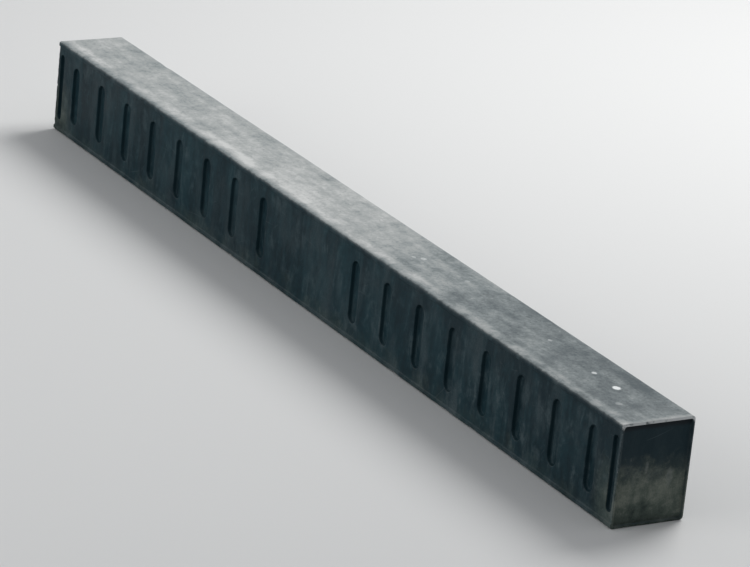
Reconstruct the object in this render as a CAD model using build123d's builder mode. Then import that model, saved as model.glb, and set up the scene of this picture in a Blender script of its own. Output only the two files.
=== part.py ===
# Railway sleeper moulded in one piece from black recycled-plastic composite.
# It lies on one of its narrow sides, as it was stacked, with Z up and its length
# along X. The wide face that beds into the ballast, with the cross slots, looks
# to -Y, and the plain wide face that carries the rails looks to +Y. The origin
# is the middle of the side that it lies on. Sizes are in millimetres.

import os

from build123d import *

# The block: 8 ft 6 in long, 9 in across its wide faces, 7 in deep in the track
sleeper_length = 2590.8
wide_face = 228.6
narrow_side = 177.8
plain_edge_radius = 8.0

# The rims that the mould leaves along both long edges of the slotted face
rim_width = 12.0
rim_height = 3.0
rim_edge_radius = 6.0
rim_flank_angle = 60.0

# Cross slots in two groups, with a plain stretch at mid-length
slot_length = 144.0
slot_width = 34.0
slot_depth = 10.0
slot_draft = 8.0
slot_pitch = 139.7
slots_per_group = 8
end_to_first_slot = 101.6

# One longer, narrower groove close to each end of the slotted face
groove_length = 166.0
groove_width = 20.0
groove_depth = 10.0
groove_draft = 8.0
end_to_groove = 20.0

# Each end face is a shallow pan inside the lip left by the mould's end plate
end_lip = 5.0
end_pan_depth = 6.0
end_pan_radius = 5.0

# Places worked out from the sizes
end_x = sleeper_length / 2
mid_height = wide_face / 2
slotted_y = rim_height - narrow_side / 2
group_reach = slot_pitch * (slots_per_group - 1)
group_x = end_x - end_to_first_slot - group_reach / 2
slotted_plane = Plane(origin=(0, slotted_y, mid_height), x_dir=(1, 0, 0), z_dir=(0, -1, 0))

with BuildPart() as sleeper:
    # Section across the sleeper, carried along its whole length
    with BuildSketch(Plane.YZ.offset(-end_x)) as section:
        with Locations((0, mid_height)):
            Rectangle(narrow_side, wide_face)
        corners = section.vertices().group_by(Axis.X)
        fillet(corners[-1], plain_edge_radius)
        fillet(corners[0], rim_edge_radius)
        # The slotted face lies a little deeper than the two rims beside it
        with Locations((slotted_y - rim_height / 2, mid_height)):
            Trapezoid(
                wide_face - 2 * rim_width,
                rim_height,
                rim_flank_angle,
                rotation=-90,
                mode=Mode.SUBTRACT,
            )
    extrude(amount=sleeper_length)

    # Cross slots, round-ended and drafted so that the mould draws
    with BuildSketch(slotted_plane):
        with Locations((-group_x, 0), (group_x, 0)):
            with GridLocations(slot_pitch, 0, slots_per_group, 1):
                SlotOverall(slot_length, slot_width, rotation=90)
    extrude(amount=-slot_depth, taper=slot_draft, mode=Mode.SUBTRACT)

    # The groove near each end
    with BuildSketch(slotted_plane):
        with GridLocations(2 * (end_x - end_to_groove), 0, 2, 1):
            SlotOverall(groove_length, groove_width, rotation=90)
    extrude(amount=-groove_depth, taper=groove_draft, mode=Mode.SUBTRACT)

    # The pan in each end face, inside the lip
    pan_depth_y = narrow_side - rim_height - 2 * end_lip
    for pan_x, inward in ((-end_x, 1), (end_x, -1)):
        with BuildSketch(Plane.YZ.offset(pan_x)):
            with Locations((rim_height / 2, mid_height)):
                RectangleRounded(pan_depth_y, wide_face - 2 * end_lip, end_pan_radius)
        extrude(amount=inward * end_pan_depth, mode=Mode.SUBTRACT)

os.makedirs("parts", exist_ok=True)
sleeper.part.label = "sleeper"
export_step(sleeper.part, "parts/sleeper.step")
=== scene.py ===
import math

import bmesh
import bpy
import numpy as np
from mathutils import Matrix, Vector


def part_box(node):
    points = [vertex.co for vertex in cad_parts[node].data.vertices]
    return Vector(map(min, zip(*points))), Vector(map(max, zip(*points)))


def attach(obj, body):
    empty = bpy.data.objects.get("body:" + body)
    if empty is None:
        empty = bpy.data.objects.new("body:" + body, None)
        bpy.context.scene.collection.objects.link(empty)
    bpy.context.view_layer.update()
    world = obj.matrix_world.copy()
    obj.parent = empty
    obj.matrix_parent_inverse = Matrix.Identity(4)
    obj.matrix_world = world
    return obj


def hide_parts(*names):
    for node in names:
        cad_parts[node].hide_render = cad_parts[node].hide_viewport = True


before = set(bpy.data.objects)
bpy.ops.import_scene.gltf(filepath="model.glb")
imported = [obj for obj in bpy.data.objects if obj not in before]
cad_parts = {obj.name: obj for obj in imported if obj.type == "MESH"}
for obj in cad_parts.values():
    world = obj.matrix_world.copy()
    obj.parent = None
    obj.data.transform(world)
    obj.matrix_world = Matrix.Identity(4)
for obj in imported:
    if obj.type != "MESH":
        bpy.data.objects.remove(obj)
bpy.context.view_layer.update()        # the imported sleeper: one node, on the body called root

print("frame loaded")


# Small tools that the pieces share

def latticeNoise(points, cell, seed):
    # Value noise in -1..1: one random number per lattice corner, blended between
    # corners with the smooth step 3t^2 - 2t^3. cell is the lattice size per axis.
    scaled = points / np.asarray(cell, float)
    base = np.floor(scaled).astype(np.int64)
    t = scaled - base
    t = t * t * (3 - 2 * t)
    total = np.zeros(len(points))
    for corner in range(8):
        step = np.array([corner & 1, corner >> 1 & 1, corner >> 2 & 1])
        i, j, k = (base + step).T
        mixed = (i * 73856093) ^ (j * 19349663) ^ (k * 83492791) ^ (seed * 6542989)
        mixed = (mixed & 0xFFFFFF) * 1103515245 + 12345
        mixed = ((mixed >> 8) & 0xFFFFFF) ^ ((mixed >> 17) & 0xFFF)
        value = (mixed & 0xFFFFF) / 0x7FFFF - 1.0
        total += value * np.prod(np.where(step == 1, t, 1 - t), axis=1)
    return total


def layeredNoise(points, cell, layers, seed):
    # The noise above in layers, each with half the cell and half the height of the last
    cell = np.asarray(cell, float)
    total = sum(latticeNoise(points, cell / 2**k, seed + k) / 2**k for k in range(layers))
    return total / (2 - 2.0 ** (1 - layers))


def smoothStep(low, high, value):
    t = np.clip((value - low) / (high - low), 0, 1)
    return t * t * (3 - 2 * t)


def gridQuads(rows, columns, closed):
    # Quads of a rows by columns grid of points; closed joins the last column to the first
    r = np.arange(rows - 1)[:, None]
    c = np.arange(columns if closed else columns - 1)[None, :]
    right = (c + 1) % columns
    corners = (r * columns + c, r * columns + right, (r + 1) * columns + right, (r + 1) * columns + c)
    return np.stack(corners, axis=-1).reshape(-1, 4)


def straight(start, end, steps):
    # Points between two ends, without the ends
    t = np.linspace(0, 1, steps + 1)[1:-1, None]
    return np.asarray(start) * (1 - t) + np.asarray(end) * t


def cornerArc(before, corner, after, radius, steps):
    # Points of the arc of that radius that rounds the corner between two straight runs:
    # centre on the bisector, turned from one tangent point to the other
    before, corner, after = (np.array(p, float) for p in (before, corner, after))
    a = (before - corner) / np.linalg.norm(before - corner)
    b = (after - corner) / np.linalg.norm(after - corner)
    half = math.acos(float(np.clip(a @ b, -1, 1))) / 2
    middle = corner + (a + b) / np.linalg.norm(a + b) * radius / math.sin(half)
    u = (corner + a * radius / math.tan(half) - middle) / radius
    turn = np.linspace(0, math.pi - 2 * half, steps + 1)[:, None]
    return middle + radius * (np.cos(turn) * u - np.sin(turn) * a)


# The sleeper's surface, worked out on grids that meet point for point

block = {
    "rimWidth": 0.012,          # the raised rims beside the slotted face
    "rimHeight": 0.003,
    "rimFlank": math.radians(60),
    "rimRadius": 0.006,
    "plainRadius": 0.008,       # long edges of the plain wide face
    "footRadius": 0.0014,       # where a rim's flank meets the slotted face
    "crestRadius": 0.0012,
    "rimSteps": 2,
    "flankSteps": 1,
    "faceSteps": 28,            # divisions across the slotted face
    "sideSteps": 22,            # divisions across a narrow side
    "recessRings": 7,           # rings of points from a recess out to its cell's edge
    "recessEase": 1.2,          # above 1 they crowd towards the recess
    "floorRings": (0.6, 0.25, 0.0),
    "weld": 0.00002,            # points closer than this become one
}

endFace = {
    "arris": 0.0010,            # rounding all round each end
    "lip": 0.005,               # lip round the shallow pan in each end face
    "upperLip": 0.0072,         # the same along its top
    "pan": 0.006,               # depth of the pan
    "panRadius": 0.005,         # of its corners
    "panSmallest": 0.0005,      # and the least that the inner rings keep of it
    "softening": 0.0007,        # rounding of the pan's edge and foot
}

slots = {
    "length": 0.144,
    "width": 0.034,
    "depth": 0.010,
    "draft": math.radians(8),
    "mouthRadius": 0.0018,
    "footRadius": 0.0025,
    "pitch": 0.1397,
    "perGroup": 8,
    "fromEnd": 0.1016,
    "stepsPerPitch": 22,
    "clearance": 0.001,         # how far below its floor a point may lie and be in a slot
}

grooves = {
    "length": 0.166,
    "width": 0.020,
    "depth": 0.010,
    "draft": math.radians(8),
    "mouthRadius": 0.0015,
    "footRadius": 0.0020,
    "fromEnd": 0.0200,
    "stretch": 0.050,           # length of sleeper that the groove's own grid takes
    "steps": 12,
}

low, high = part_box("sleeper")
halfLength, halfDepth, height = high.x, high.y, high.z
midZ = height / 2
slottedY = block["rimHeight"] - halfDepth
bodyEnd = halfLength - endFace["arris"]


def sectionLine():
    # The section from the low edge of the slotted face round to its high edge, as
    # (y, z) points: straight runs joined by arcs, each from its corner, radius and steps.
    # Also where each arc's middle lies.
    rise = block["rimWidth"] + block["rimHeight"] / math.tan(block["rimFlank"])
    corners = [
        ((slottedY, rise), block["footRadius"], 2),
        ((-halfDepth, block["rimWidth"]), block["crestRadius"], 2),
        ((-halfDepth, 0), block["rimRadius"], 4),
        ((halfDepth, 0), block["plainRadius"], 6),
        ((halfDepth, height), block["plainRadius"], 6),
        ((-halfDepth, height), block["rimRadius"], 4),
        ((-halfDepth, height - block["rimWidth"]), block["crestRadius"], 2),
        ((slottedY, height - rise), block["footRadius"], 2),
    ]
    places = [(slottedY, midZ)] + [c[0] for c in corners] + [(slottedY, midZ)]
    arcs = [
        cornerArc(places[k], places[k + 1], places[k + 2], corners[k][1], corners[k][2])
        for k in range(len(corners))
    ]
    rim, flank, side = block["rimSteps"], block["flankSteps"], block["sideSteps"]
    plain = block["faceSteps"] + 2 * (rim + flank) + 6     # as many as the slotted side has
    line, middles = [arcs[0]], [1]
    for arc, steps, corner in zip(arcs[1:], (flank, rim, side, plain, side, rim, flank), corners[1:]):
        run = straight(line[-1][-1], arc[0], steps)
        middles.append(sum(len(p) for p in line) + len(run) + corner[2] // 2)
        line += [run, arc]
    return np.vstack(line), middles


section, arcMiddles = sectionLine()
faceZ = np.linspace(section[0, 1], section[-1, 1], block["faceSteps"] + 1)


def lengthCells():
    # Stretches of the slotted face along X: (start, end, steps, recess, its centre)
    pitch, first = slots["pitch"], slots["fromEnd"] - halfLength
    edges = [-bodyEnd, grooves["stretch"] - halfLength]
    edges += [first + pitch * (k + 0.5) for k in range(slots["perGroup"])]
    cells = [(edges[0], edges[1], grooves["steps"], grooves, grooves["fromEnd"] - halfLength)]
    for k in range(slots["perGroup"]):
        a, b = edges[k + 1], edges[k + 2]
        cells.append((a, b, round((b - a) / pitch * slots["stepsPerPitch"]), slots, first + pitch * k))
    reach = -edges[-1]
    middle = (-reach, reach, round(2 * reach / pitch * slots["stepsPerPitch"]), None, 0)
    return cells + [middle] + [(-b, -a, n, recess, -x) for a, b, n, recess, x in reversed(cells)]


def recessProfile(recess):
    # (offset from the outline, depth) from the face down to the floor: the mouth's
    # rounding, the drafted wall and the foot's rounding, all tangent to each other
    r, f, draft, deep = (recess[k] for k in ("mouthRadius", "footRadius", "draft", "depth"))
    reach = math.tan((math.pi / 2 - draft) / 2)
    footX = -deep * math.tan(draft) - f * reach
    turn = np.linspace(0, math.pi / 2 - draft, 4)
    mouth = np.c_[r * reach - r * np.sin(turn), r * (1 - np.cos(turn))]
    turn = np.linspace(draft, math.pi / 2, 4)
    foot = np.c_[footX + f * np.cos(turn), deep - f + f * np.sin(turn)]
    face = np.array([[6 * r, 0], [2.6 * r, 0]])
    return np.vstack([face, mouth, (mouth[-1:] + foot[:1]) / 2, foot])


def recessSurface(start, end, steps, recess, centre):
    # One stretch of the slotted face: rings that pass from the stretch's rectangle to
    # the recess's round-ended outline, down its wall and in over its floor
    count = block["faceSteps"]
    xs = np.linspace(start, end, steps + 1)
    rectangle = np.vstack([
        np.c_[xs[:-1], np.full(steps, faceZ[0])],
        np.c_[np.full(count, end), faceZ[:-1]],
        np.c_[xs[:0:-1], np.full(steps, faceZ[-1])],
        np.c_[np.full(count, start), faceZ[:0:-1]],
    ])
    radius = recess["width"] / 2
    half = recess["length"] / 2 - radius
    along = np.linspace(-half, half, count + 1)[:-1]
    turn = np.linspace(0, math.pi, steps + 1)[:-1]
    spine = np.concatenate([np.full(steps, -half), along, np.full(steps, half), -along])
    outX = np.concatenate([-np.cos(turn), np.ones(count), np.cos(turn), -np.ones(count)])
    outZ = np.concatenate([-np.sin(turn), np.zeros(count), np.sin(turn), np.zeros(count)])

    def outline(reach):
        return np.c_[centre + outX * reach, midZ + spine + outZ * reach]

    profile = recessProfile(recess)
    first = outline(radius + profile[0, 0])
    shares = np.linspace(1, 0, block["recessRings"] + 1)[:-1] ** block["recessEase"]
    rings = [(rectangle * w + first * (1 - w), 0.0) for w in shares]
    rings += [(outline(radius + offset), depth) for offset, depth in profile]
    floorReach = radius + profile[-1, 0]
    rings += [(outline(floorReach * share), recess["depth"]) for share in block["floorRings"]]
    points = np.zeros((len(rings), len(rectangle), 3))
    for k, (ring, depth) in enumerate(rings):
        points[k] = np.c_[ring[:, 0], np.full(len(ring), slottedY + depth), ring[:, 1]]
    return points


def flatStretch(start, end, steps):
    # A stretch of the slotted face with no recess
    x, z = np.meshgrid(np.linspace(start, end, steps + 1), faceZ, indexing="ij")
    return np.stack([x, np.full_like(x, slottedY), z], axis=-1)


def longSurface(stations):
    # The section line carried along the length
    shape = (len(stations), len(section))
    x = np.broadcast_to(stations[:, None], shape)
    y = np.broadcast_to(section[:, 0], shape)
    z = np.broadcast_to(section[:, 1], shape)
    return np.stack([x, y, z], axis=-1)


def endSurfaces(side):
    # One end, side being -1 or 1: rings in from the section's outline round the arris,
    # over the lip and down into the pan, and the pan's floor as a patch between its
    # four sides: P(u, v) = mix of facing sides over v + mix over u - mix of the corners
    first, second, third, fourth = arcMiddles[2:6]      # at the section's four corners
    closing = np.c_[np.full(len(faceZ) - 2, slottedY), faceZ[-2:0:-1]]
    loop = np.vstack([section[first:], closing, section[:first]])
    turns = [0, second - first, third - first, fourth - first, len(loop)]
    shares = []                 # how far along its side each point of the outline lies
    for start, end in zip(turns, turns[1:]):
        run = np.vstack([loop, loop[:1]])[start:end + 1]
        reach = np.r_[0, np.cumsum(np.linalg.norm(np.diff(run, axis=0), axis=1))]
        shares.append(reach / reach[-1])
    tangent = np.roll(loop, -1, axis=0) - np.roll(loop, 1, axis=0)
    inward = np.c_[-tangent[:, 1], tangent[:, 0]]
    inward /= np.linalg.norm(inward, axis=1)[:, None]

    panLow = np.array([slottedY + endFace["lip"], endFace["lip"]])
    panHigh = np.array([halfDepth - endFace["lip"], height - endFace["upperLip"]])

    def panSides(inset):
        # The pan's outline, moved in by inset, in four sides that end at mid-corner
        a, b = panLow + inset, panHigh - inset
        radius = max(endFace["panRadius"] - inset, endFace["panSmallest"])
        square = [a, (b[0], a[1]), b, (a[0], b[1])]
        arcs = [cornerArc(square[k - 1], square[k], square[(k + 1) % 4], radius, 8) for k in range(4)]
        sides = []
        for k in range(4):
            line = np.vstack([arcs[k][4:], arcs[(k + 1) % 4][:5]])
            reach = np.r_[0, np.cumsum(np.linalg.norm(np.diff(line, axis=0), axis=1))]
            stops = shares[k] * reach[-1]
            sides.append(np.stack([np.interp(stops, reach, axis) for axis in line.T], axis=1))
        return sides

    def panLoop(inset):
        return np.vstack([line[:-1] for line in panSides(inset)])

    r, s = endFace["arris"], endFace["softening"]
    rings = [(loop, 0.0)]
    for turn in np.radians((30, 60, 90)):
        rings.append((loop + inward * r * (1 - math.cos(turn)), r * math.sin(turn)))
    lipStart, lipEnd = rings[-1][0], panLoop(-s)
    rings += [(lipStart * (1 - w) + lipEnd * w, r) for w in (0.5, 1.0)]
    floor = r - endFace["pan"]
    panWall = ((-0.3, r - 0.3 * s), (0, r - s), (0.2, floor + s), (0.5, floor + 0.3 * s), (1.2, floor))
    rings += [(panLoop(inset * s), out) for inset, out in panWall]
    lip = np.zeros((len(rings), len(loop), 3))
    for k, (ring, out) in enumerate(rings):
        lip[k] = np.c_[np.full(len(ring), side * (bodyEnd + out)), ring]

    bottom, right, top, left = panSides(1.2 * s)
    top, left = top[::-1], left[::-1]
    u = (shares[0] + 1 - shares[2][::-1])[:, None, None] / 2
    v = (shares[1] + 1 - shares[3][::-1])[None, :, None] / 2
    patch = (1 - v) * bottom[:, None] + v * top[:, None] + (1 - u) * left[None] + u * right[None]
    patch = patch - (1 - u) * (1 - v) * bottom[0] - u * (1 - v) * bottom[-1]
    patch = patch - (1 - u) * v * top[0] - u * v * top[-1]
    x = np.full(patch.shape[:2] + (1,), side * (bodyEnd + r - endFace["pan"]))
    return lip, np.concatenate([x, patch], axis=-1)


def joinSurfaces(surfaces):
    # Lists of (grid of points, grid of flow coordinates, closed) put into one set of arrays
    points, flows, quads, base = [], [], [], 0
    for grid, flow, closed in surfaces:
        rows, columns = grid.shape[:2]
        points.append(grid.reshape(-1, 3))
        flows.append(flow.reshape(-1, 2))
        quads.append(gridQuads(rows, columns, closed) + base)
        base += rows * columns
    return np.vstack(points), np.vstack(flows), np.vstack(quads)


relief = {
    "sway": 0.0007,             # broad sinks and swells of the cooled moulding
    "swayCell": (0.42, 0.16, 0.16),
    "flow": 0.00040,            # ridges where the melt folded, across every face
    "flowCell": (0.030, 0.26, 0.26),
    "flowBend": 0.016,          # how far they bend
    "bendCell": (0.16, 0.08, 0.08),
    "pits": 0.0012,             # small dents
    "pitCell": (0.034, 0.030, 0.030),
    "pitLevel": 0.60,
    "nicks": 0.0032,            # bites out of the arrises
    "nickCell": (0.058, 0.044, 0.044),
    "nickLevel": 0.50,
    "nickReach": 0.009,
    "nickTaper": 0.2,
    "wander": 0.0007,           # unevenness of the arrises and of the slots' mouths
    "wanderCell": (0.070, 0.05, 0.05),
    "mouthWander": 0.6,         # share of it at the mouths
    "mouthReach": 0.003,
}

marking = {                     # how far the marks that the material reads spread
    "nearArris": 0.007,              # from an arris
    "mouth": 0.004,             # from the outline of a recess
    "hollow": 0.002,            # out from that outline
    "endFacing": (0.5, 0.9),    # how far a point faces along X to be on an end
}


def faceGaps(points):
    # A point's distances to the planes of the nearest end, wide face and narrow side
    fromMiddle = np.abs(points - (0, 0, midZ))
    return np.array([halfLength, halfDepth, midZ]) - fromMiddle


def arrisGap(points):
    # How far a point of the surface lies from the nearest arris of the block: the middle
    # one of its three distances, sorted by size
    return np.sort(faceGaps(points), axis=1)[:, 1]


def biteWay(points):
    # The way a bite out of an arris goes: away from each face by exp(-(distance/reach)^2),
    # made a unit long, but shorter where no face is near
    away = np.sign(points - (0, 0, midZ)) * np.exp(-((faceGaps(points) / relief["nickReach"]) ** 2))
    return -away / np.maximum(np.linalg.norm(away, axis=1), relief["nickTaper"])[:, None]


def mouthGap(points):
    # Distance to the outline of the nearest recess, negative inside it: the distance to
    # the recess's middle line less half its width. It is 1 m away from the slotted face.
    nearest = np.full(len(points), 1.0)
    for recess, count in ((slots, slots["perGroup"]), (grooves, 1)):
        first = halfLength - recess["fromEnd"]
        turn = np.clip(np.round((first - np.abs(points[:, 0])) / slots["pitch"]), 0, count - 1)
        sideways = np.abs(points[:, 0]) - (first - turn * slots["pitch"])
        radius = recess["width"] / 2
        lengthways = np.maximum(np.abs(points[:, 2] - midZ) - recess["length"] / 2 + radius, 0)
        nearest = np.minimum(nearest, np.hypot(sideways, lengthways) - radius)
    deepest = slottedY + slots["depth"] + slots["clearance"]
    return np.where(points[:, 1] < deepest, nearest, 1.0)


def reliefDepth(points):
    # How far each point sinks along its normal, how deep the arris is bitten there, and
    # the flow ridges: sums of layered noise, bites and dents only where it passes a level
    bend = relief["flowBend"] * layeredNoise(points, relief["bendCell"], 2, 11)
    bent = points + np.c_[bend, np.zeros((len(points), 2))]
    ridges = layeredNoise(bent, relief["flowCell"], 3, 21)
    sway = layeredNoise(points, relief["swayCell"], 3, 31)
    dents = smoothStep(relief["pitLevel"], 1.0, latticeNoise(points, relief["pitCell"], 41))
    edge = np.exp(-((arrisGap(points) / relief["nickReach"]) ** 2))
    bites = smoothStep(relief["nickLevel"], 1.0, layeredNoise(points, relief["nickCell"], 2, 51))
    wander = layeredNoise(points, relief["wanderCell"], 3, 61)
    rim = np.exp(-((mouthGap(points) / relief["mouthReach"]) ** 2))
    sink = relief["sway"] * (0.5 + 0.5 * sway) + relief["flow"] * (0.5 + 0.5 * ridges)
    sink += relief["pits"] * dents * (1 - edge)
    sink += relief["wander"] * (0.5 + 0.5 * wander) * relief["mouthWander"] * rim
    bites = edge * (relief["nicks"] * bites + relief["wander"] * (0.5 + 0.5 * wander))
    return sink, bites, ridges


def mouldedMesh():
    # All the surfaces welded into one closed mesh, with the flow coordinates as its UV
    # map: metres along and across each face, the ends 7 m apart from the faces. Also how
    # many edges stay open.
    cells = lengthCells()
    stations = [np.linspace(a, b, n + 1)[:-1] for a, b, n, *rest in cells]
    stations = np.concatenate(stations + [[bodyEnd]])
    girth = np.r_[0, np.cumsum(np.linalg.norm(np.diff(section, axis=0), axis=1))]
    body = longSurface(stations)
    flow = np.stack([body[..., 0], np.broadcast_to(girth, body.shape[:2])], axis=-1)
    surfaces = [(body, flow, False)]
    for start, end, steps, recess, centre in cells:
        if recess:
            grid = recessSurface(start, end, steps, recess, centre)
        else:
            grid = flatStretch(start, end, steps)
        flow = np.stack([grid[..., 0], section[0, 1] - grid[..., 2]], axis=-1)
        surfaces.append((grid, flow, recess is not None))
    for side in (-1, 1):
        for grid, closed in zip(endSurfaces(side), (True, False)):
            flow = np.stack([grid[..., 1] + 7 * side, grid[..., 2]], axis=-1)
            surfaces.append((grid, flow, closed))
    points, flows, quads = joinSurfaces(surfaces)

    mesh = bpy.data.meshes.new("mouldedSleeper")
    mesh.from_pydata(points.tolist(), [], quads.tolist())
    mesh.uv_layers.new(name="flow").uv.foreach_set("vector", flows[quads.ravel()].ravel())
    tidy = bmesh.new()
    tidy.from_mesh(mesh)
    bmesh.ops.remove_doubles(tidy, verts=tidy.verts, dist=block["weld"])
    bmesh.ops.recalc_face_normals(tidy, faces=tidy.faces)
    tidy.to_mesh(mesh)
    openEdges = sum(1 for e in tidy.edges if not e.is_manifold)
    tidy.free()
    mesh.polygons.foreach_set("use_smooth", np.ones(len(mesh.polygons), bool))
    return mesh, openEdges


def surfaceMarks(places, normals, ridges):
    # What the material reads at each point: exp(-(distance/reach)^2) for nearness to an arris
    # and to the mouths, smooth steps of the depth in a recess and of how far the point faces along X
    mouths = mouthGap(places)
    depth = np.where(mouths < marking["hollow"], places[:, 1] - slottedY, 0)
    onEnd = np.abs(places[:, 0]) > bodyEnd - endFace["pan"]
    return {
        "ridge": 0.5 + 0.5 * ridges,
        "nearArris": np.exp(-((arrisGap(places) / marking["nearArris"]) ** 2)),
        "hollow": smoothStep(0, slots["depth"], depth),
        "mouth": np.exp(-((mouths / marking["mouth"]) ** 2)),
        "endFace": smoothStep(*marking["endFacing"], np.abs(normals[:, 0])) * onEnd,
    }


def makeSleeper():
    mesh, openEdges = mouldedMesh()
    places, normals = np.zeros((2, len(mesh.vertices) * 3))
    mesh.vertices.foreach_get("co", places)
    mesh.vertex_normals.foreach_get("vector", normals)
    places, normals = places.reshape(-1, 3), normals.reshape(-1, 3)
    sink, bites, ridges = reliefDepth(places)
    for name, values in surfaceMarks(places, normals, ridges).items():
        mark = mesh.attributes.new(name, "FLOAT", "POINT")
        mark.data.foreach_set("value", values.astype(np.float32))
    moved = places - normals * sink[:, None] + biteWay(places) * bites[:, None]
    moved = np.clip(moved, np.array(low), np.array(high))
    mesh.vertices.foreach_set("co", moved.ravel())
    mesh.update()

    sleeper = bpy.data.objects.new("mouldedSleeper", mesh)
    bpy.context.scene.collection.objects.link(sleeper)
    triangles = sum(len(p.vertices) - 2 for p in mesh.polygons)
    print("sleeper:", len(mesh.vertices), "points,", triangles, "triangles,", openEdges, "open edges")
    return sleeper


# The composite: black recycled plastic, streaked across each face where the melt
# folded, filmed with dust, chalked by the weather on top and soiled on its ends; painted
# shade lies in its recesses and under the ends' upper lips, and painted highlights, sheen
# and shadow lie on its edges and upper face

composite = {
    "specular": 0.15,
    "roughness": 0.36,          # of the smoothest plastic; patterns and layers add to it
    "bumpHeight": 0.0009,
    "nearEnd": (-0.25, 1.10),   # along X, where the tones turn to those of the near end
    "highNear": (0.06, 0.20),   # heights over which the near end differs from its foot
    "flank": (0.30, 0.78),      # how far a slot's wall faces along X to count as one
    "wallDepth": (0.02, 0.30),  # shares of a slot's depth over which its wall sets in
    "cleanDepth": 0.3,          # no soil or bloom lies deeper than this share,
    "plainDepth": 0.1,          # and no scratch deeper than this
}

patterns = {                    # noises over the sleeper: scale, detail, roughness
    "cloud": (4.2, 6.0, 0.60),
    "patches": (13.0, 5.0, 0.62),
    "ragged": (17.0, 6.0, 0.66),
    "mottle": (42.0, 5.0, 0.66),
    "peel": (85.0, 2.0, 0.50),
    "fine": (110.0, 3.0, 0.60),
    "grain": (260.0, 3.0, 0.60),
    "grit": (850.0, 2.0, 0.60),
}

folds = {                       # noises on the flow map: scale along, across, detail, roughness
    "bands": (19.0, 3.6, 3.0, 0.55),
    "streaks": (64.0, 9.0, 4.0, 0.60),
    "threads": (210.0, 26.0, 3.0, 0.55),
}

foldWander = [(6.0, 0.070), (38.0, 0.009)]      # how the folds wander: noise scale, reach

pores = {
    "cells": 125.0,             # a metre
    "radius": 0.20,             # of a pinhole, in cells
    "bareCells": 0.66,          # share of the cells without one
}

scratches = {
    "sizes": [                  # cells a metre, half length, half width, share of bare cells
        (9.0, 0.046, 0.0007, 0.50),
        (24.0, 0.018, 0.0005, 0.56),
    ],
    "lean": 0.9,                # their middle angle, in radians
    "turn": 2.6,                # and how widely the angles spread about it
    "bend": 5.0,
    "core": (0.3, 0.2),         # shares of the half width and half length at full strength
    "rise": 0.3,                # above the bare cells' share, to a stroke at full strength
}


class NodeBench:
    # Short makers for the nodes of one material

    def __init__(self, name):
        self.material = bpy.data.materials.new(name)
        self.material.use_nodes = True
        self.tree = self.material.node_tree
        self.shader = self.tree.nodes["Principled BSDF"]

    def put(self, socket, value):
        if isinstance(value, bpy.types.NodeSocket):
            self.tree.links.new(value, socket)
        else:
            socket.default_value = value

    def make(self, kind, sources=None, **settings):
        node = self.tree.nodes.new("ShaderNode" + kind)
        for name, value in settings.items():
            setattr(node, name, value)
        for name, value in (sources or {}).items():
            self.put(node.inputs[name], value)
        return node

    def calc(self, operation, *values):
        return self.make("Math", dict(enumerate(values)), operation=operation).outputs[0]

    def times(self, product, *factors):
        for factor in factors:
            product = self.calc("MULTIPLY", product, factor)
        return product

    def plus(self, a, b):
        return self.calc("ADD", a, b)

    def larger(self, a, b):
        return self.calc("MAXIMUM", a, b)

    def size(self, value):
        return self.calc("ABSOLUTE", value)

    def without(self, share):
        return self.calc("SUBTRACT", 1.0, share)

    def added(self, value, gain, base):
        # base + value * gain
        return self.calc("MULTIPLY_ADD", value, gain, base)

    def between(self, share, a, b):
        # a where the share is 0, b where it is 1
        return self.added(share, b - a, a)

    def spread(self, value, gain, level=0.5):
        # (value - 0.5) * gain + level: more or less contrast about the middle
        return self.added(value, gain, level - 0.5 * gain)

    def ramp01(self, value, start, end):
        # 0 before start, 1 after end, a smooth step between
        sources = {"Value": value, "From Min": start, "From Max": end}
        return self.make("MapRange", sources, interpolation_type="SMOOTHSTEP").outputs[0]

    def stretch(self, vector, scale):
        return self.make("VectorMath", {0: vector, 1: scale}, operation="MULTIPLY").outputs[0]

    def shift(self, vector, offset):
        return self.make("VectorMath", {0: vector, 1: offset}, operation="ADD").outputs[0]

    def noise(self, vector, scale, detail=3.0, roughness=0.5):
        sources = {"Vector": vector, "Scale": scale, "Detail": detail, "Roughness": roughness}
        return self.make("TexNoise", sources).outputs[0]

    def drawnNoise(self, vector, scale, detail, roughness):
        # Noise with a scale of its own on each axis
        return self.noise(self.stretch(vector, scale), 1.0, detail, roughness)

    def mark(self, name):
        return self.make("Attribute", attribute_name=name).outputs["Fac"]

    def colours(self, value, stops):
        node = self.make("ValToRGB", {0: value})
        points = node.color_ramp.elements
        while len(points) < len(stops):
            points.new(0.5)
        for point, (place, colour) in zip(points, stops):
            point.position = place
            point.color = colour
        return node.outputs[0]

    def blend(self, share, a, b):
        node = self.make("Mix", data_type="RGBA")
        for socket, value in ((0, share), (6, a), (7, b)):
            self.put(node.inputs[socket], value)
        return node.outputs[2]

    def weighted(self, *pairs):
        # The sum of value times weight
        total = None
        for value, weight in pairs:
            part = self.times(value, weight)
            total = part if total is None else self.plus(total, part)
        return total


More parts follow.
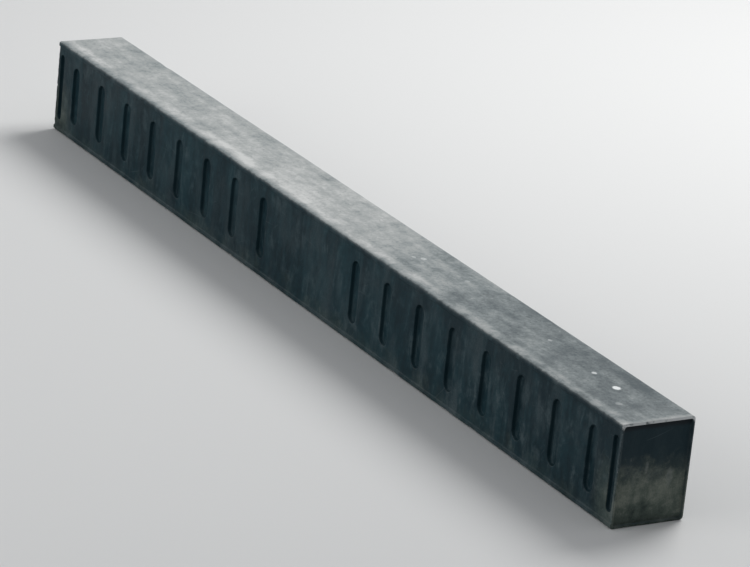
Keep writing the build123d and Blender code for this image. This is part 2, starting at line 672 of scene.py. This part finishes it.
def sharedPatterns(bench):
    # What several layers read: place, facing, the marks on the points, and noises, some
    # drawn out across each face, the way the melt folded, on a wandering grid
    place = bench.make("TexCoord").outputs["Object"]
    flow = bench.make("UVMap", uv_map="flow").outputs[0]
    normal = bench.make("NewGeometry").outputs["Normal"]
    p = dict(zip("xyz", bench.make("SeparateXYZ", {0: place}).outputs), place=place)
    facing = bench.make("SeparateXYZ", {0: normal}).outputs
    p["up"] = facing[2]
    for name in ("ridge", "nearArris", "hollow", "mouth", "endFace"):
        p[name] = bench.mark(name)
    for name, settings in patterns.items():
        p[name] = bench.noise(place, *settings)
    coarse, small = (bench.spread(bench.noise(place, scale), reach, 0) for scale, reach in foldWander)
    wander = bench.plus(coarse, small)
    bent = bench.shift(flow, bench.make("CombineXYZ", {0: wander}).outputs[0])
    for name, (along, across, detail, roughness) in folds.items():
        p[name] = bench.drawnNoise(bent, (along, across, 1.0), detail, roughness)
    flank = bench.ramp01(bench.size(facing[0]), *composite["flank"])
    p["wall"] = bench.times(bench.ramp01(p["hollow"], *composite["wallDepth"]), flank)
    p["outside"] = bench.without(bench.ramp01(p["hollow"], 0.0, composite["cleanDepth"]))
    p["pores"] = poreMarks(bench, place)
    unslotted = bench.without(bench.ramp01(p["hollow"], 0.0, composite["plainDepth"]))
    p["scratches"] = bench.times(scratchMarks(bench, flow), unslotted)
    p["nearEnd"] = bench.ramp01(p["x"], *composite["nearEnd"])
    p["highNear"] = bench.times(p["nearEnd"], bench.ramp01(p["z"], *composite["highNear"]))
    return p


def poreMarks(bench, place):
    # Pinholes: the middles of small cells, in the cells whose random colour is high
    cells = bench.make("TexVoronoi", {"Vector": place, "Scale": pores["cells"]})
    chosen = bench.make("SeparateXYZ", {0: cells.outputs["Color"]}).outputs[0]
    hole = bench.ramp01(cells.outputs["Distance"], pores["radius"], pores["radius"] / 2)
    return bench.times(hole, bench.calc("GREATER_THAN", chosen, pores["bareCells"]))


def scratchMarks(bench, flow):
    # Handling scratches: in some cells of the face one nearly straight stroke through
    # the cell's middle, at the cell's own angle, fading towards both its ends
    marks = 0.0
    for scale, length, width, level in scratches["sizes"]:
        cells = bench.make("TexVoronoi", {"Vector": flow, "Scale": scale}, voronoi_dimensions="2D")
        chance = bench.make("SeparateXYZ", {0: cells.outputs["Color"]}).outputs
        sources = {0: flow, 1: cells.outputs["Position"]}
        gap = bench.make("VectorMath", sources, operation="SUBTRACT").outputs[0]
        angle = bench.spread(chance[0], scratches["turn"], scratches["lean"])
        turned = bench.make("VectorRotate", {"Vector": gap, "Angle": angle}, rotation_type="Z_AXIS")
        along, across = bench.make("SeparateXYZ", {0: turned.outputs[0]}).outputs[:2]
        bend = bench.spread(chance[2], scratches["bend"], 0)
        across = bench.added(bench.times(along, along), bend, across)
        coreWidth, coreLength = scratches["core"]
        stroke = bench.times(bench.ramp01(bench.size(across), width, width * coreWidth),
                             bench.ramp01(bench.size(along), length, length * coreLength))
        chosen = bench.ramp01(chance[1], level, level + scratches["rise"])
        marks = bench.larger(marks, bench.times(stroke, chosen))
    return marks


bareMelt = {
    "stops": [                  # from the darkest folds to the palest
        (0.00, (0.0025, 0.0140, 0.0200, 1)),
        (0.38, (0.0052, 0.0240, 0.0320, 1)),
        (0.64, (0.0095, 0.0345, 0.0440, 1)),
        (1.00, (0.0280, 0.0600, 0.0700, 1)),
    ],
    "contrast": 5.0,
    "level": 0.29,
    "endFace": -0.32,           # change of tone on the ends
    "highNear": -0.22,          # and high up towards the near end
    # painted shade for the recesses, darker than any bare plastic
    "recess": (0.0042, 0.0190, 0.0255, 1),
    "wallShare": 0.78,          # how much of that painted shade the slots' walls have,
    "hollowShare": 0.04,        # the slots as a whole
    "poreShare": 0.45,          # and the pinholes
}


def meltLayer(bench, p):
    # Bare plastic: bands and streaks over broad clouds, with painted shade near black on the
    # recesses' walls, fainter over the slots as a whole and in the pinholes
    tone = bench.weighted((p["bands"], 0.27), (p["streaks"], 0.24), (p["cloud"], 0.18),
                          (p["mottle"], 0.21), (p["threads"], 0.05), (p["ridge"], 0.05))
    tone = bench.spread(tone, bareMelt["contrast"], bareMelt["level"])
    tone = bench.added(p["endFace"], bareMelt["endFace"], tone)
    tone = bench.added(p["highNear"], bareMelt["highNear"], tone)
    recessShade = bench.weighted((p["wall"], bareMelt["wallShare"]), (p["hollow"], bareMelt["hollowShare"]),
                          (p["pores"], bareMelt["poreShare"]))
    return bench.blend(recessShade, bench.colours(tone, bareMelt["stops"]), bareMelt["recess"])


greyFilm = {
    "stops": [
        (0.00, (0.0110, 0.0300, 0.0380, 1)),
        (1.00, (0.0710, 0.0980, 0.1080, 1)),
    ],
    "contrast": 3.2,
    "streaked": (0.48, 0.62),   # noise levels at which the streaks begin and are full
    "streakedFar": 0.50,        # their share at the far end, against 1 at the near end
    "clouded": (0.47, 0.65),    # the same for broad clouds of dust
    "cloudedFar": 0.34,
    "cloudNoise": ((13.0, 13.0, 5.0), 5.0, 0.62),       # scale on each axis, detail, roughness
    "foot": (0.012, 0.024),     # heights over which the dust along the foot ends
    "footPatches": (0.40, 0.58),
    "footShare": 0.48,
    "highNear": 0.55,           # what is left of it high up towards the near end,
    "wall": 0.10,               # on the slots' walls
    "endFace": 0.20,            # and on the ends
}


def dustLayer(bench, p, colour):
    # A grey film in broken streaks, stronger towards the near end, thin on the slots' walls
    streaked = bench.weighted((p["streaks"], 0.30), (p["patches"], 0.36), (p["mottle"], 0.24),
                              (p["threads"], 0.10))
    clouded = bench.drawnNoise(p["place"], *greyFilm["cloudNoise"])
    share = bench.times(bench.ramp01(streaked, *greyFilm["streaked"]),
                        bench.between(p["nearEnd"], greyFilm["streakedFar"], 1.0))
    broad = bench.times(bench.ramp01(clouded, *greyFilm["clouded"]),
                        bench.between(p["nearEnd"], greyFilm["cloudedFar"], 1.0))
    foot = bench.without(bench.ramp01(p["z"], *greyFilm["foot"]))
    foot = bench.times(foot, bench.ramp01(p["patches"], *greyFilm["footPatches"]))
    share = bench.larger(bench.larger(share, broad), bench.times(foot, greyFilm["footShare"]))
    for name in ("highNear", "wall", "endFace"):
        share = bench.times(share, bench.between(p[name], 1.0, greyFilm[name]))
    tone = bench.weighted((p["patches"], 0.40), (p["grain"], 0.35), (p["grit"], 0.25))
    tone = bench.spread(tone, greyFilm["contrast"])
    return bench.blend(share, colour, bench.colours(tone, greyFilm["stops"]))


# rubbed arrises and scratches, paler also as a painted highlight on the arrises and the slots' mouths
scuffAndHighlight = {
    "colour": (0.105, 0.135, 0.145, 1),
    "runs": (0.36, 0.62),       # noise levels at which the rubbed runs begin and are full
    "edgeShare": 0.50,
    "mouthShare": 0.06,         # of the slots' mouths, against the arrises
    "scratchShare": 0.32,
}


def scuffAndHighlightLayer(bench, p, colour):
    # The arrises are rubbed paler in runs, partly as a painted highlight of their rounding, and
    # the mouths of the slots faintly, as a painted highlight
    runs = bench.weighted((p["mottle"], 0.5), (p["patches"], 0.5))
    rubAndHighlight = bench.larger(p["nearArris"], bench.times(p["mouth"], scuffAndHighlight["mouthShare"]))
    rubAndHighlight = bench.times(rubAndHighlight, bench.ramp01(runs, *scuffAndHighlight["runs"]))
    share = bench.weighted((rubAndHighlight, scuffAndHighlight["edgeShare"]), (p["scratches"], scuffAndHighlight["scratchShare"]))
    return bench.blend(share, colour, scuffAndHighlight["colour"])


endSoil = {
    "stops": [                  # olive-grey dirt
        (0.00, (0.0340, 0.0460, 0.0390, 1)),
        (0.45, (0.0860, 0.1060, 0.0880, 1)),
        (1.00, (0.2000, 0.2160, 0.1800, 1)),
    ],
    "contrast": 3.6,
    "level": 0.46,
    "ragged": 0.16,             # how far its upper line wanders
    "top": (0.012, 0.112),      # height of that line along the foot, and on the ends
    "fade": (-0.030, 0.035),    # full below the line by this, gone above it by this
    "share": (0.22, 0.80),      # along the foot, and on the ends
    "around": (0.095, 0.035),   # in from the ends: begins and is full round their corners
    "aroundTop": (0.160, 0.045),
    "aroundShare": 0.50,
    "low": (-0.005, 0.070),     # it is a little darker below these heights
}


def soilLayer(bench, p, colour):
    # Dirt on the lower part of each end in ragged patches, thinner round its corners and
    # along the foot
    ragged = bench.spread(p["ragged"], endSoil["ragged"], 0)
    raggedZ = bench.plus(p["z"], ragged)
    top = bench.plus(bench.between(p["endFace"], *endSoil["top"]), ragged)
    share = bench.without(bench.ramp01(bench.calc("SUBTRACT", p["z"], top), *endSoil["fade"]))
    share = bench.times(share, bench.between(p["endFace"], *endSoil["share"]))
    start, full = (halfLength - inset for inset in endSoil["around"])
    around = bench.ramp01(bench.size(p["x"]), start, full)
    around = bench.times(around, bench.ramp01(raggedZ, *endSoil["aroundTop"]), p["outside"])
    share = bench.larger(share, bench.times(around, endSoil["aroundShare"]))
    low = bench.ramp01(raggedZ, *endSoil["low"])
    tone = bench.weighted((p["patches"], 0.30), (p["mottle"], 0.44), (p["grain"], 0.17), (low, 0.09))
    tone = bench.spread(tone, endSoil["contrast"], endSoil["level"])
    return bench.blend(share, colour, bench.colours(tone, endSoil["stops"])), share


lips = {
    # painted shade below each end's upper lip and along the end's foot
    "lipShade": (0.0010, 0.0045, 0.0075, 1),
    # the upper lips rubbed pale, brightened further as a painted highlight of their rounded edge
    "pale": (0.600, 0.620, 0.620, 1),
    "uneven": 0.008,            # how far both waver up and down
    "pan": (0.0020, 0.0045),    # in from the end's plane: where the lip gives way to the pan
    "lipShadeTop": (0.024, 0.014), # down from the top: where the painted shade begins and is full
    "lipShadeShare": 0.97,
    "foot": (0.016, 0.007),     # heights over which painted shade darkens the foot
    "footShare": 0.20,
    "paleFade": 0.009,
    "worn": (0.34, 0.52),       # noise levels at which the pale rub and painted highlight begin and are full
    "paleShare": 0.85,
}


def lipLayer(bench, p, colour):
    # Each end's upper lip is rubbed pale and brightened as a painted highlight, and painted
    # shade darkens the pan just below it, as under the lip's overhang, and the end's foot
    under = bench.plus(p["z"], bench.spread(p["mottle"], lips["uneven"], 0))
    start, full = (halfLength - inset for inset in lips["pan"])
    inPan = bench.ramp01(bench.size(p["x"]), start, full)
    start, full = (height - drop for drop in lips["lipShadeTop"])
    lipShade = bench.times(bench.ramp01(under, start, full), inPan, lips["lipShadeShare"])
    foot = bench.times(bench.ramp01(p["z"], *lips["foot"]), lips["footShare"])
    lipShade = bench.times(bench.larger(lipShade, foot), p["endFace"])
    colour = bench.blend(lipShade, colour, lips["lipShade"])
    edge = height - endFace["upperLip"]
    worn = bench.ramp01(p["mottle"], *lips["worn"])
    pale = bench.times(bench.ramp01(under, edge - lips["paleFade"], edge), p["endFace"])
    pale = bench.times(pale, bench.without(inPan), worn, lips["paleShare"])
    return bench.blend(pale, colour, lips["pale"])


bloomAndSheen = {
    "stops": [                  # weathered bloom with painted sheen, from thin to thick
        (0.00, (0.120, 0.142, 0.150, 1)),
        (0.35, (0.256, 0.284, 0.285, 1)),
        (0.65, (0.384, 0.400, 0.393, 1)),
        (1.00, (0.600, 0.605, 0.590, 1)),
    ],
    "contrast": 3.4,
    "level": 0.61,
    "smears": ((4.0, 30.0, 8.0), 5.0, 0.62),    # scale on each axis, detail, roughness
    # a paler band along the slotted face's edge: bloom, and a painted highlight of the rounded edge
    "bandInset": (0.027, 0.010),        # in from the slotted face, at the far and near end
    "bandWidth": (0.024, 0.004),        # from its middle: where it begins and is full
    "bandPatches": (0.36, 0.58),
    "bandLeast": 0.4,                   # its strength between the patches
    "bandShare": (0.18, 0.34),          # at the far and near end
    "slottedEdge": (0.026, 0.002),      # in from the slotted face: duller towards it
    "plainEdge": (0.030, 0.085),        # along Y: duller towards the plain face
    "middle": (0.05, 0.75),             # a paler middle: its shift along X, and its reach
    "tipLights": [(0.110, 0.005, 0.28), (0.016, 0.006, 0.24)],   # painted light and highlight: paler from, to and by, at the near end
    "thinTone": (0.1, 0.6),             # tones over which the bloom thickens
    "thinShare": 0.78,                  # of the darkest bloom, against the palest
    "facing": (0.48, 0.84),             # how far a place faces up, where bloom begins and is full
    "raggedFacing": (0.10, 0.35),       # and over which its outline turns ragged
    "skin": (0.05, 0.70),               # the same for a thin skin of it on the rounded edges
    "skinShare": 0.34,
    "foot": (0.030, 0.120),             # heights over which it grows from almost nothing
    "footShare": 0.05,
}


def bloomAndSheenLayer(bench, p, colour):
    # Bloom and dust on what faces up, paler than they are as a painted sheen of the upper face:
    # smears along the sleeper over a granular mottle, a paler band a little in from the slotted
    # face's edge that is partly a painted highlight, painted shadow over the near part and
    # painted light at the near tip
    smears = bench.drawnNoise(p["place"], *bloomAndSheen["smears"])
    tone = bench.weighted((smears, 0.20), (p["patches"], 0.22), (p["mottle"], 0.15), (p["fine"], 0.12),
                          (p["cloud"], 0.16), (p["grain"], 0.10), (p["grit"], 0.05))
    tone = bench.spread(tone, bloomAndSheen["contrast"], bloomAndSheen["level"])

    far, near = (inset - halfDepth for inset in bloomAndSheen["bandInset"])
    fromBand = bench.calc("SUBTRACT", p["y"], bench.between(p["nearEnd"], far, near))
    bandAndHighlight = bench.ramp01(bench.size(fromBand), *bloomAndSheen["bandWidth"])
    broken = bench.ramp01(p["patches"], *bloomAndSheen["bandPatches"])
    broken = bench.between(broken, bloomAndSheen["bandLeast"], 1.0)
    bandAndHighlight = bench.times(bandAndHighlight, broken, bench.between(p["nearEnd"], *bloomAndSheen["bandShare"]))
    start, full = (inset - halfDepth for inset in bloomAndSheen["slottedEdge"])
    slotted = bench.times(bench.ramp01(p["y"], start, full), bench.without(p["nearEnd"]))
    plain = bench.ramp01(p["y"], *bloomAndSheen["plainEdge"])
    shift, reach = bloomAndSheen["middle"]
    middle = bench.ramp01(bench.size(bench.plus(p["x"], shift)), reach, 0.0)
    tipLight = bench.weighted(*((bench.ramp01(p["x"], halfLength - start, halfLength - full), gain)
                           for start, full, gain in bloomAndSheen["tipLights"]))
    # the band is bloom with a painted highlight, the near tip painted light, the near end's darkening
    # painted shadow, and the pinholes' darkening painted shade
    change = bench.weighted((bandAndHighlight, 1.0), (slotted, -0.30), (plain, -0.06), (middle, 0.12),
                            (tipLight, 0.9), (p["nearEnd"], -0.44))
    marks = bench.weighted((p["scratches"], 0.16), (p["pores"], -0.30))
    tone = bench.plus(bench.plus(tone, change), marks)

    ragged = bench.weighted((bench.spread(p["mottle"], 1.0, 0), 0.6),
                            (bench.spread(p["fine"], 1.0, 0), 0.5))
    facing = bench.added(ragged, bench.ramp01(p["up"], *bloomAndSheen["raggedFacing"]), p["up"])
    skin = bench.times(bench.ramp01(p["up"], *bloomAndSheen["skin"]), bloomAndSheen["skinShare"])
    share = bench.larger(bench.ramp01(facing, *bloomAndSheen["facing"]), skin)
    thin = bench.between(bench.ramp01(tone, *bloomAndSheen["thinTone"]), bloomAndSheen["thinShare"], 1.0)
    risen = bench.between(bench.ramp01(p["z"], *bloomAndSheen["foot"]), bloomAndSheen["footShare"], 1.0)
    share = bench.times(share, thin, p["outside"], risen)
    return bench.blend(share, colour, bench.colours(tone, bloomAndSheen["stops"])), share


paleSpots = {
    "colour": (0.86, 0.88, 0.87, 1),
    "ragged": (210.0, 0.005),   # noise scale and reach of their uneven outline
    "stretch": (0.8, 1.0, 0.4), # below 1 they are longer on that axis
    "core": 0.6,                # share of the radius at full strength
}

flecks = [      # spots on the upper side, then smudges on the end: place, radius, strength
    ((1.119, 0.010, height), 0.0100, 1.00),
    ((1.034, 0.010, height), 0.0065, 0.62),
    ((1.195, -0.033, height), 0.0080, 0.20),
    ((0.846, 0.019, height), 0.0055, 0.30),
    ((0.487, 0.032, height), 0.0065, 0.20),
    ((0.338, 0.010, height), 0.0075, 0.36),
    ((0.322, -0.006, height), 0.0055, 0.32),
    ((halfLength, -0.052, 0.143), 0.0065, 0.085),
    ((halfLength, -0.058, 0.112), 0.0060, 0.070),
    ((halfLength, -0.012, 0.124), 0.0085, 0.070),
    ((halfLength, 0.046, 0.098), 0.0120, 0.050),
]


def fleckLayer(bench, p, colour):
    # Pale spots and smudges: the ragged distance to each one's middle, long up the ends
    scale, reach = paleSpots["ragged"]
    ragged = bench.spread(bench.noise(p["place"], scale), reach, 0)
    spots = 0.0
    for middle, radius, strength in flecks:
        gap = bench.stretch(bench.shift(p["place"], tuple(-v for v in middle)), paleSpots["stretch"])
        length = bench.make("VectorMath", {0: gap}, operation="LENGTH").outputs[1]
        length = bench.plus(length, ragged)
        spot = bench.without(bench.ramp01(length, radius * paleSpots["core"], radius))
        spots = bench.larger(spots, bench.times(spot, strength))
    return bench.blend(spots, colour, paleSpots["colour"])


def makeComposite():
    bench = NodeBench("composite")
    p = sharedPatterns(bench)
    colour = dustLayer(bench, p, meltLayer(bench, p))
    colour, soilShare = soilLayer(bench, p, scuffAndHighlightLayer(bench, p, colour))
    colour, bloomAndSheenShare = bloomAndSheenLayer(bench, p, lipLayer(bench, p, colour))
    bench.put(bench.shader.inputs["Base Color"], fleckLayer(bench, p, colour))

    rough = bench.weighted((p["cloud"], 0.30), (p["streaks"], 0.16), (bloomAndSheenShare, 0.22),
                           (soilShare, 0.20))
    bench.put(bench.shader.inputs["Roughness"], bench.plus(rough, composite["roughness"]))
    bench.shader.inputs["Specular IOR Level"].default_value = composite["specular"]

    heights = bench.weighted((p["bands"], 0.55), (p["streaks"], 0.42), (p["threads"], 0.10),
                             (p["mottle"], 0.30), (p["peel"], 0.20), (p["grain"], 0.16),
                             (p["grit"], 0.05), (p["pores"], -0.35), (p["scratches"], -0.10))
    sources = {"Height": heights, "Strength": 1.0, "Distance": composite["bumpHeight"]}
    bench.put(bench.shader.inputs["Normal"], bench.make("Bump", sources).outputs[0])
    return bench.material


sleeper = makeSleeper()
sleeper.data.materials.append(makeComposite())
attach(sleeper, "root")
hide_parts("sleeper")
print("sleeper dressed")


# Floor, lights and camera

studio = {
    "floorColour": (0.70, 0.70, 0.69, 1),
    "floorRoughness": 0.8,
    "floorSpecular": 0.2,
    "floorSize": 40.0,
    "keyPower": 230.0,
    "keySize": 3.2,
    "keyPlace": (-1.2, 3.4, 4.2),
    "fillPower": 66.0,
    "fillSize": 3.5,
    "fillPlace": (0.2, -5.0, 2.4),
    "lampAim": (0, 0, 0.1),
    "skyColour": (0.92, 0.95, 1, 1),
    "skyStrength": 0.35,
}


def makeFloor():
    mesh = bpy.data.meshes.new("paleFloor")
    half = studio["floorSize"] / 2
    corners = [(-half, -half, 0), (half, -half, 0), (half, half, 0), (-half, half, 0)]
    mesh.from_pydata(corners, [], [(0, 1, 2, 3)])
    floor = bpy.data.objects.new("paleFloor", mesh)
    bpy.context.scene.collection.objects.link(floor)
    paint = bpy.data.materials.new("paleFloor")
    paint.use_nodes = True
    shader = paint.node_tree.nodes["Principled BSDF"]
    shader.inputs["Base Color"].default_value = studio["floorColour"]
    shader.inputs["Roughness"].default_value = studio["floorRoughness"]
    shader.inputs["Specular IOR Level"].default_value = studio["floorSpecular"]
    mesh.materials.append(paint)


def softLamp(name, place, size, power):
    lamp = bpy.data.lights.new(name, "AREA")
    lamp.shape = "DISK"
    lamp.size = size
    lamp.energy = power
    holder = bpy.data.objects.new(name, lamp)
    holder.location = place
    aim = Vector(studio["lampAim"]) - Vector(place)
    holder.rotation_euler = aim.to_track_quat("-Z", "Y").to_euler()
    bpy.context.scene.collection.objects.link(holder)


def makeWorld():
    # A pale sky lights the sleeper; the camera and glossy rays see plain white instead
    world = bpy.data.worlds.new("paleRoom")
    bpy.context.scene.world = world
    world.use_nodes = True
    tree = world.node_tree
    background = tree.nodes["Background"]
    background.inputs["Color"].default_value = studio["skyColour"]
    background.inputs["Strength"].default_value = studio["skyStrength"]
    white = tree.nodes.new("ShaderNodeBackground")
    white.inputs["Color"].default_value = (1, 1, 1, 1)
    path = tree.nodes.new("ShaderNodeLightPath")
    mix = tree.nodes.new("ShaderNodeMixShader")
    seen = path.outputs["Is Camera Ray"]
    for kind in ("Is Glossy Ray", "Is Transmission Ray"):
        either = tree.nodes.new("ShaderNodeMath")
        either.operation = "MAXIMUM"
        tree.links.new(seen, either.inputs[0])
        tree.links.new(path.outputs[kind], either.inputs[1])
        seen = either.outputs[0]
    tree.links.new(seen, mix.inputs[0])
    tree.links.new(background.outputs[0], mix.inputs[1])
    tree.links.new(white.outputs[0], mix.inputs[2])
    tree.links.new(mix.outputs[0], tree.nodes["World Output"].inputs[0])


photoView = {
    "place": (7.690, -4.629, 3.286),
    "aim": (0.120, 0.026, 0.090),
    "roll": 5.85,                       # degrees
    "lens": 203.0,                      # millimetres, as the sensor's width
    "sensor": 36,
}


def makeCamera():
    place, aim = Vector(photoView["place"]), Vector(photoView["aim"])
    lens = bpy.data.cameras.new("photoView")
    lens.lens = photoView["lens"]
    lens.sensor_width = photoView["sensor"]
    lens.clip_end = 100
    camera = bpy.data.objects.new("photoView", lens)
    turn = (aim - place).to_track_quat("-Z", "Y").to_matrix().to_4x4()
    roll = Matrix.Rotation(math.radians(photoView["roll"]), 4, "Z")
    camera.matrix_world = Matrix.Translation(place) @ turn @ roll
    bpy.context.scene.collection.objects.link(camera)
    bpy.context.scene.camera = camera


makeFloor()
softLamp("keyLamp", studio["keyPlace"], studio["keySize"], studio["keyPower"])
softLamp("fillLamp", studio["fillPlace"], studio["fillSize"], studio["fillPower"])
makeWorld()
makeCamera()
bpy.context.scene.view_settings.view_transform = "Standard"
print("studio ready")
